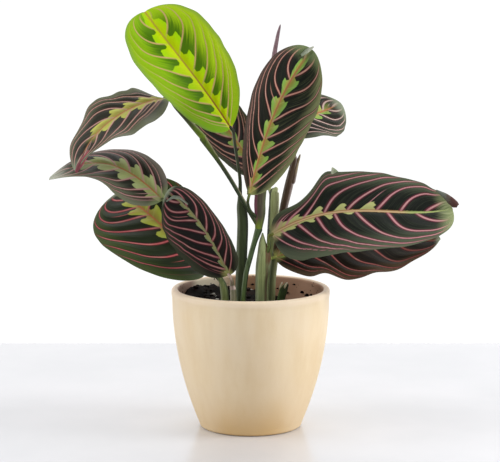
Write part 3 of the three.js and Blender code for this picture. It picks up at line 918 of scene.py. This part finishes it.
def bladeFinish(name, leaf):
    if leaf["young"]:
        return limeFinish(name, leaf)
    material, wire = newFinish("upper_" + name)
    p = veinPattern(wire)
    half = float(np.mean(leaf["halves"]))
    feather = wire.vector(p.count * 9, p.reach * 2.2, 3.0).noise()
    lines = wire.vector(p.count * 26, p.reach * 1.6, 5.0).noise(1.0, 2.0)
    mottle = wire.vector(p.count * 2.5, p.reach * 4, 8.0).noise(1.0, 2.0)
    # towards the margin the leaf turns pale grey-green: partly its own margin colour, partly painted sheen
    out = p.reach.eased(leaf["marginFrom"], 1.05) + (feather - 0.5) * 0.6 + (lines - 0.5) * 0.5
    margin = leaf["margin"]
    if "marginLeft" in leaf:
        margin = p.right.mixed(leaf["marginLeft"], margin)
    green = layered(
        leaf["dark"],
        (out.clamped(), margin),
        (mottle.eased(0.5, 0.85) * 0.3, "2c3a20"),
        (lines.eased(0.5, 0.8) * p.reach.eased(0.2, 1.0, 0.15, 0.6), margin))
    low, high = leaf["lobes"]
    rise = leaf["lobesRise"]
    fadeBand = (leaf["lobesFade"], leaf["baseBand"])
    lime, inLobe = lobeBand(wire, p, low * half, high * half, rise, feather, *fadeBand)
    lime = lime * p.along.eased(*leaf["lobesEnd"])
    lobe = inLobe.eased(0.1, 0.85).mixed(leaf["lobeCore"], leaf["lime"])
    lobe = (feather.eased(0.45, 0.8) * 0.5).mixed(lobe, "bcc878")
    colour = lime.mixed(green, lobe)
    widest = leaf["veinGirth"]
    girth = p.reach.eased(0.0, 1.0, widest, widest * 0.5)
    fade = p.reach.eased(1.02, 0.88) * p.origin.eased(-0.05, 0.01) * p.along.eased(1.0, 0.93)
    fade = fade * p.spacing.eased(1.5, 3.0)
    vein = p.away.eased(girth * 1.3, girth * 0.55) * fade
    # a dark maroon band beside each vein: partly the leaf's own tint, partly painted shade beside the raised
    # vein
    halo = p.away.eased(girth * 2.9, girth * 1.2) * fade * 0.85
    short = (p.part - 0.5).absolute() * p.spacing
    short = short.eased(0.5, 0.2) * p.dice.eased(0.80, 0.84) * p.reach.eased(0.62, 0.4)
    short = short * p.reach.eased(0.1, 0.2) * p.along.eased(0.9, 0.8)
    colour = (short * 0.7).mixed(colour, leaf["vein"])
    colour = (halo * (1 - lime)).mixed(colour, leaf["halo"])
    veinTint = p.reach.eased(0.1, 0.95).mixed(leaf["vein"], leaf.get("veinOut", leaf["vein"]))
    veinTint = (mottle.eased(0.4, 0.8) * 0.4).mixed(veinTint, "d0b0a0")
    if "veinEnd" in leaf:
        veinTint = p.along.eased(0.5, 0.8).mixed(veinTint, leaf["veinEnd"])
    colour = (vein * p.reach.eased(0.0, 0.2, 0.6, 1.0)).mixed(colour, veinTint)
    width = leaf["midribWidth"]
    fromRib = p.rib / p.along.eased(0.98, 0.75, 0.5, 1.0)
    midrib = fromRib.eased(0.85 * width, 0.40 * width) * p.along.eased(1.0, 0.8, 0.3, 1.0)
    ribTint, coreTint = leaf["midrib"], leaf.get("midribCore")
    if "ribEnd" in leaf:
        late = p.along.eased(0.72, 0.80)
        ribTint, coreTint = [late.mixed(a, b) for a, b in zip((ribTint, coreTint), leaf["ribEnd"])]
    colour = midrib.mixed(colour, ribTint)
    if "midribCore" in leaf:
        colour = fromRib.eased(0.45 * width, 0.2 * width).mixed(colour, coreTint)
    heelReach = leaf["heelReach"]
    heel = p.along.eased(0.085, 0.02) * p.rib.eased(heelReach, heelReach * 0.3) * (0.4 + 0.6 * feather)
    colour = (heel * 0.9).mixed(colour, leaf["heel"])
    paleFrom = leaf["paleFrom"]
    # the pale tip: partly the leaf's own, partly painted sheen
    tipPale = (p.along + (lines - 0.5) * 0.06).eased(paleFrom, 1.0)
    tipPaleAndSheen = leaf["tipPaleAndSheen"]
    if "tipLines" in leaf:
        tipPaleAndSheen = lines.eased(0.42, 0.62).mixed(tipPaleAndSheen, leaf["tipLines"])
    colour = (tipPale * 0.9).mixed(colour, tipPaleAndSheen)
    rough = 0.36 + 0.24 * feather + 0.08 * vein
    bump = (feather * 0.5 + lines * 0.4 + vein * 0.8, 0.4, 0.0005)
    return finished(material, colour, rough, 0.16, bump, {"Sheen Weight": 0.02, "Sheen Roughness": 0.4})


def limeFinish(name, leaf):
    material, wire = newFinish("upper_" + name)
    p = veinPattern(wire)
    half = float(np.mean(leaf["halves"]))
    feather = wire.vector(p.count * 8, p.reach * 2.5, 3.0).noise()
    lines = wire.vector(p.count * 24, p.reach * 1.6, 5.0).noise(1.0, 2.0)
    out = p.reach.eased(0.3, 1.0) + (feather - 0.5) * 0.8 + (lines - 0.5) * 0.5
    # the young leaf's own lime, brightened as painted light shining through it
    green = out.clamped().mixed("8cc000", "acd21c")
    green = (p.along.eased(0.5, 0.05) * 0.6).mixed(green, "6cb010")
    leftGreen, rightGreen = (lines * 0.8).mixed(green, "6fa00c"), (lines * 0.7).mixed(green, "bcd820")
    green = p.right.mixed(leftGreen, rightGreen)
    green = p.reach.eased(0.86, 1.0, 0.0, 0.6).mixed(green, "7fa04e")
    blotchEnd = p.dice.eased(0.0, 1.0, 0.0, 0.16) + p.reach
    blotchEnd = blotchEnd + (feather - 0.5) * 0.45 + (lines - 0.5) * 0.25
    blotch = blotchEnd.eased(0.70, 0.32) * p.along.eased(0.98, 0.80) * p.origin.eased(-0.02, 0.06)
    colour = (blotch * 0.9).mixed(green, "3f6c04")
    lime, inLobe = lobeBand(wire, p, 0.10 * half, 0.34 * half, (-0.35, 0.5), feather)
    lobe = inLobe.eased(0.1, 1.0).mixed("c2da00", "aade00")
    colour = lime.mixed(colour, lobe)
    girth = p.reach.eased(0.0, 1.0, 0.68, 0.34)
    fade = p.reach.eased(0.97, 0.60) * p.origin.eased(-0.05, 0.01) * p.along.eased(1.0, 0.93)
    vein = p.away.eased(girth * 1.5, girth * 0.5) * fade
    colour = (vein * p.reach.eased(0.0, 0.3, 0.2, 0.95)).mixed(colour, "cfae72")
    midrib = p.rib.eased(0.85, 0.40)
    colour = midrib.mixed(colour, p.along.eased(0.0, 0.9).mixed("8a5a22", "c2b23a"))
    bump = (feather * 0.5 + lines * 0.3 + vein * 0.8, 0.35, 0.0005)
    return finished(material, colour, 0.44 + 0.20 * feather, 0.09, bump)


def underFinish(name, leaf):
    material, wire = newFinish("under_" + name)
    p = veinPattern(wire)
    feather = wire.vector(p.count * 9, p.reach * 2.2, 5.0).noise()
    ground, dull, line = ("6b3a44", "73625e", "9b4a55")
    if leaf["young"]:
        ground, dull, line = ("8fae2a", "7c9a3a", "b99a62")
    colour = (p.reach.eased(0.3, 1.0) * 0.6 + (feather - 0.5) * 0.5).clamped().mixed(ground, dull)
    vein = p.away.eased(0.9, 0.35) * p.reach.eased(1.0, 0.85) * p.origin.eased(-0.05, 0.01)
    colour = (vein * 0.7).mixed(colour, line)
    colour = p.rib.eased(1.5, 0.8).mixed(colour, "8f9a58")
    bump = (feather + vein, 0.3, 0.0004)
    return finished(material, colour, 0.55 + 0.2 * feather, 0.35, bump, {"Sheen Weight": 0.15})


soilDepth = 84      # millimetres above the table: how far down the stems go
# each route is x, y, z and radius in millimetres, from the bottom up
tips = {
    "back": [[[16.9, 16.4, 150, 3.5], [17.8, 16.1, 165, 3.9], [18, 16, 175, 3.8], [18.2, 16, 178.6, 3.3],
              [19.3, 16, 180.4, 1.8]]],
    "back_right": [[[31.8, 10.4, 187, 2.3], [33.6, 10.3, 195, 2.0], [35.4, 10.3, 201, 1.3],
                    [36.6, 10.3, 204.6, 1.0], [37.5, 10.3, 207.4, 0.5]]],
    "stub_cut": [[[22.2, 3.0, 105.2, 0.6], [22.9, 2.4, 107.6, 0.8], [24.0, 2.4, 110.4, 0.55]],
                 [[25.6, 2.2, 105.6, 0.7], [26.4, 1.9, 107.8, 0.9], [27.7, 2.2, 110.0, 0.6]]],
}
stalks = {
    "lime_top": [[-8, 2, soilDepth, 4.2], [-7, 2, 126, 4.2], [-6, 1, 155, 4.2], [-7, 0, 169, 3.6],
                 [-8, -1, 177, 1.8], [-8, -3, 190, 1.3], [-10, -5, 205, 1.2], [-12, -6, 218, 1.2]],
    "upper_left": [[-36, 4, 221.5, 2.5], [-41, 5, 227, 2.3], [-49, 5, 236, 1.8], [-57, 3, 245, 1.3]],
    "front_tall": [[5, -9, 162, 1.2], [0, -15, 168, 1.1], [-2, -20, 174, 1.1]],
    "right_large": [[11, -9, 133, 1.4], [14, -10, 140, 1.3]],
    "back_right": [[16, 6, soilDepth, 2.4], [17, 8, 114, 2.5], [21, 11, 143, 2.7], [24.6, 11, 164, 3],
                   [29.1, 11, 184, 3.3], [32.8, 11, 200, 2.7], [33, 10, 207, 1.4]],
    "mid_left": [[-19, -12, soilDepth, 3], [-20, -12, 107, 3], [-24, -12, 118, 1.8],
                 [-33, -12, 135, 1.2], [-46, -13, 153, 1.2]],
    "low_left": [[-19.5, 2, soilDepth, 2], [-20, 2, 103, 1.8], [-22.5, 2, 111, 1.5]],
    "front_left": [[-13, -18, soilDepth, 2.4], [-13, -19, 105, 2.4], [-14, -23, 113, 1.8]],
    "low_right": [[10, -7, 128, 1.6]],
    "back": [[14, 14, soilDepth, 3.2], [15, 18, 118, 3.5], [16.3, 19, 142, 3.9], [17.5, 18, 163, 4],
             [17.6, 18, 173, 3.2], [14, 20, 181, 1.4]],
}
stems = {
    "stem_centre": [[-7, -10, soilDepth, 2.1], [-4, -10, 116, 2], [0, -10, 133, 2], [3, -10, 144, 2.1],
                    [6, -9, 153, 2.9]],
    "sheath_centre": [[6, -9, 153.5, 2.7], [7, -8, 165, 4.1], [7, -7, 175, 4.3], [9, -6, 194, 4.2],
                      [12, -4, 220, 3.4], [14, -2, 247, 2.3]],
    "rolled_leaf": [[14, -2, 246, 1.9], [17, 0, 279, 1.9], [20, 2, 297, 1.4], [21.6, 3, 304, 0.9],
                    [22.2, 3, 306.4, 0.4]],
    "stem_branch": [[5, -9, 157, 1.7], [-2, -10, 169, 1.7], [-8, -9, 179, 1.6], [-16, -5, 192, 1.6],
                    [-25, 0, 205, 1.7], [-36, 4, 220.5, 2.7]],
    "sheath_right": [[8, -7, soilDepth, 4.2], [8, -7, 110, 4.4], [9, -7, 123, 5.3], [10, -7, 132, 5.3],
                     [9, -8, 142, 3], [9, -8, 150, 0.6]],
    "stub_cut": [[23.2, 4, soilDepth, 2.8], [23.3, 4, 97, 3], [25.3, 4, 104.3, 3], [27.2, 4, 108, 1.9]],
}
# colours at the foot, in the middle, at the top, of the streaks, and along the left and right edges; the
# edge colours are mostly painted highlight and painted shade
stalkLooks = {
    "petiole_lime_top": {"slot": "sheath_brown", "tints": "4a5638 4c5a3a 454a36 2c3424 93a088 12160f"},
    "petiole_upper_left": {"slot": "stem_green", "tints": "7fa02c 565842 6a6a50 3a3c2c 7d8460 b5b08c"},
    "petiole_front_tall": {"slot": "stem_green", "tints": "4c5a3a 4c5a3a 7d8a48 2f3826 6a7a50 39442c"},
    "petiole_right_large": {"slot": "sheath_pale", "tints": "5c6a34 66743a 8f9448 3c4826 7c8c50 2c361c"},
    "petiole_back_right": {"slot": "sheath_brown", "tints": "6e6a48 54402e 5c4a38 24170f 6c6054 a2948e"},
    "petiole_mid_left": {"slot": "stem_green", "tints": "8c9a60 7c8a56 66754a 3e4c2a a4ae8c 39462a"},
    "petiole_low_left": {"slot": "stem_green", "tints": "3c4a2c 3e4c2e 55633a 283420 566444 242e1a"},
    "petiole_front_left": {"slot": "sheath_pale", "tints": "8d9468 a8a488 cbb0a4 70744f c9c2ae 6a6c4c"},
    "petiole_low_right": {"slot": "sheath_pale", "tints": "9fb45a 9fb45a a9b45c 6f7f3c c2c88a 7c8c40"},
    # petiole_back is paler than its own pale green, as painted light, and its right edge is a painted
    # highlight
    "petiole_back": {"slot": "sheath_pale", "tints": "a9b486 c0cc92 dce8a8 93a05e a6b284 e4ecbc"},
    "stem_centre": {"slot": "stem_green", "tints": "76924e 5f744c 52693f 34482c 9cb08c 1e2818"},
    "sheath_centre": {"slot": "sheath_brown", "tints": "8aa436 5f5846 6a6450 3a342c a8607c 56603c",
                      "footEnd": 0.12},
    "rolled_leaf": {"slot": "rolled_leaf", "tints": "6b5a58 94767c 8a7078 5c4a50 b09aa0 5f484e"},
    "stem_branch": {"slot": "stem_green", "tints": "66763a 47573c 6f8434 303a28 39482f b9ad8c",
                    "footEnd": 0.1},
    "sheath_right": {"slot": "sheath_pale", "tints": "84946a adbb7e bcc88e 4e5c3a cad6ac 6f7a52"},
    "stub_cut": {"slot": "stem_green", "tints": "4e6a38 3a5028 2e3a1c 26361c 5f7c46 22301a",
                 "tips": {"tints": "c4bc8c efe6be fbf6e0 a89e70 f2eaca c4b890"}},
}


def smoothPath(points, perSpan):
    # a Catmull-Rom curve through every point, its radius running with it
    p = np.array(points, float)
    p = np.vstack([2 * p[0] - p[1], p, 2 * p[-1] - p[-2]])
    path = []
    for a, b, c, d in zip(p, p[1:], p[2:], p[3:]):
        for i in range(perSpan):
            t = i / perSpan
            path.append(b + 0.5 * t * (c - a + t * (2 * a - 5 * b + 4 * c - d + t * (3 * (b - c) + d - a))))
    return np.array(path + [p[-2]])


def stalkToBlade(name):
    leaf = blades[name]
    base = np.array(leaf["rib"][0], float)
    start = unit(np.array(leaf["rib"][1], float) - base)
    points = stalks[name]
    radius = min(points[-1][3], bladeShape["baseHalf"])
    leadIn = min(5, np.linalg.norm(np.array(points[-1][:3]) - base) / 3)
    tail = [[*(base - start * back), radius] for back in (leadIn, -0.6)]
    return points + tail


def rounded(path):
    # both ends run on a little, getting thinner, so that neighbours meet
    ends = []
    for last, before in ((path[0], path[1]), (path[-1], path[-2])):
        away = unit((last - before)[:3])
        radius = last[3]
        ends.append([np.append(last[:3] + away * radius * out, radius * size)
                     for out, size in ((0.35, 0.92), (0.65, 0.72), (0.85, 0.42))])
    return np.array(ends[0][::-1] + list(path) + ends[1])


def tube(name, points):
    path = rounded(smoothPath(points, 7))
    data = bpy.data.curves.new(name, "CURVE")
    data.dimensions = "3D"
    data.bevel_depth = 1
    data.bevel_resolution = 6
    data.use_fill_caps = True
    line = data.splines.new("POLY")
    line.points.add(len(path) - 1)
    for point, (x, y, z, radius) in zip(line.points, path):
        point.co = (x * mm, y * mm, z * mm, 1)
        point.radius = radius * mm
    piece = bpy.data.objects.new(name, data)
    scene.collection.objects.link(piece)
    onlySelect(piece)
    bpy.ops.object.convert(target="MESH")
    piece = bpy.context.object
    bpy.ops.object.mode_set(mode="EDIT")
    bpy.ops.mesh.select_all(action="SELECT")
    bpy.ops.mesh.remove_doubles(threshold=1e-6)
    bpy.ops.mesh.normals_make_consistent(inside=False)
    bpy.ops.object.mode_set(mode="OBJECT")
    storeSides(piece, path)
    return piece


def storeSides(piece, path):
    # left to right across the stalk, from 0 to 1
    points = coordinates(piece) / mm
    nearest = np.array([np.argmin(((path[:, :3] - point) ** 2).sum(axis=1)) for point in points])
    side = np.clip((points[:, 0] - path[nearest, 0]) / path[nearest, 3], -1, 1)
    corners = cornerVertices(piece.data)
    writeMap(piece.data, "side", 0.5 + 0.5 * side[corners], nearest[corners] / len(path))


def makeStalk(name, points, extras=()):
    look = stalkLooks[name]
    skin = stalkFinish(name, points, look)
    piece = tube(name, points)
    piece.data.materials.append(skin)
    for index, extra in enumerate(extras):
        part = tube(name + str(index), extra)
        partSkin = stalkFinish(name + "_tip", extra, look["tips"]) if "tips" in look else skin
        part.data.materials.append(partSkin)
        joinTo(piece, part)
    smooth(piece, 50)
    return keep(piece, "grown_" + name, look["slot"], name)


def stalkFinish(name, points, look):
    foot, middle, top, streak, left, right = look["tints"].split()
    material, wire = newFinish("skin_" + name)
    place = wire.place()
    x, y, z = place.split()
    side = mapOf(wire, "side")[0]
    low = max(points[0][2], 90) * mm
    high = points[-1][2] * mm
    height = (z - low) / max(high - low, 1 * mm)
    grain = wire.vector(x * 900, y * 900, z * 45).noise()
    blotch = place.noise(140.0)
    wavy = side + (grain - 0.5) * 0.25
    colour = layered(
        foot,
        (height.eased(0.0, look.get("footEnd", 0.5)), middle),
        (height.eased(0.6, 1.0), top),
        # the edge colours are mostly painted highlight and painted shade on the stalk's sides
        (wavy.eased(0.34, 0.06) * 0.85 * height.eased(0.0, look.get("footEnd", 0.001)), left),
        (wavy.eased(0.62, 0.92) * 0.85, right),
        (grain.eased(0.45, 0.75) * 0.6, streak),
        (blotch.eased(0.55, 0.8) * 0.35, streak))
    colour = special(name, x, y, z, wavy, grain, colour)
    return finished(material, colour, 0.40 + 0.22 * grain, 0.25, (grain, 0.5, 0.0008))


def special(name, x, y, z, side, grain, colour):
    # what only one stalk shows
    if name == "sheath_right":
        # the brown throat where two stalks come out, partly brown and partly painted shade in the opening,
        # and the papery line below it
        throat = (x + (grain - 0.5) * 3 * mm).eased(10.6 * mm, 12.4 * mm)
        throat = throat * z.eased(0.124, 0.130) * z.eased(0.149, 0.142)
        colour = (throat * 0.9).mixed(colour, "6b4a30")
        fromSeam = x - z * 0.04 - 0.0068
        seam = fromSeam.eased(-0.9 * mm, 0.0) * fromSeam.eased(2.2 * mm, 1.0 * mm)
        colour = (seam * 0.8 * z.eased(0.132, 0.122)).mixed(colour, "5e5238")
    if name == "petiole_front_left":
        colour = (z.eased(0.1085, 0.1100) * z.eased(0.1135, 0.1120)).mixed(colour, "ecd6cc")
    if name == "petiole_back":
        shade = side.eased(0.20, 0.12) * z.eased(0.138, 0.146) * y.eased(0.0195, 0.0175)
        colour = (shade * 0.9).mixed(colour, "141a10")
    if name == "petiole_back_right":
        paleFoot = side.eased(0.2, 0.9).mixed("6a7450", "bccb94")
        paleFoot = (grain.eased(0.35, 0.7) * 0.4).mixed(paleFoot, "6a6a44")
        colour = z.eased(0.150, 0.136).mixed(colour, paleFoot)
        prong = (x - 0.0337 - (z - 0.195) * 0.27).eased(-0.4 * mm, 0.4 * mm) * z.eased(0.190, 0.198)
        colour = (prong * 0.85).mixed(colour, "8e8060")
    return colour


def makeBackdrop():
    # a lit white sheet fills the picture behind the table
    bpy.ops.object.select_all(action="DESELECT")
    place = (0, view["sheetBack"], view["sheetMiddle"])
    upright = (math.radians(90), 0, 0)
    bpy.ops.mesh.primitive_plane_add(size=view["sheetSize"], location=place, rotation=upright)
    sheet = bpy.context.object
    bpy.ops.object.transform_apply()
    sheet.name = "backdrop"
    material = newFinish("litSheet")[0]
    glow = {"Emission Color": "ffffff", "Emission Strength": view["sheetGlow"]}
    sheet.data.materials.append(finished(material, "000000", 0.5, 0, None, glow))


def makeTable():
    halfDepth = (view["tableBack"] - view["tableFront"]) / 2
    middle = (view["tableBack"] + view["tableFront"]) / 2
    bpy.ops.mesh.primitive_plane_add(size=2, location=(0, middle, -0.0002))
    table = bpy.context.object
    table.scale = (view["tableHalf"], halfDepth, 1)
    bpy.ops.object.transform_apply()
    table.name = "table"
    material, wire = newFinish("paleMarble")
    marble = wire.place().noise(7.0, 4.0).eased(0.3, 0.7).mixed("dadbdf", "e3e3e7")
    table.data.materials.append(finished(material, marble, 0.22, 0.5))


makeCamera()
makeLights()
makeTable()
makeBackdrop()
print("camera, lights and table are set")
makePot()
makeSoil()
print("pot and soil are done")
for stemName, route in stems.items():
    makeStalk(stemName, route, tips.get(stemName, ()))
for stalkName in stalks:
    makeStalk("petiole_" + stalkName, stalkToBlade(stalkName), tips.get(stalkName, ()))
print("stems and stalks are done")
for bladeName, bladeLeaf in blades.items():
    makeBlade(bladeName, bladeLeaf)
print("blades are done")
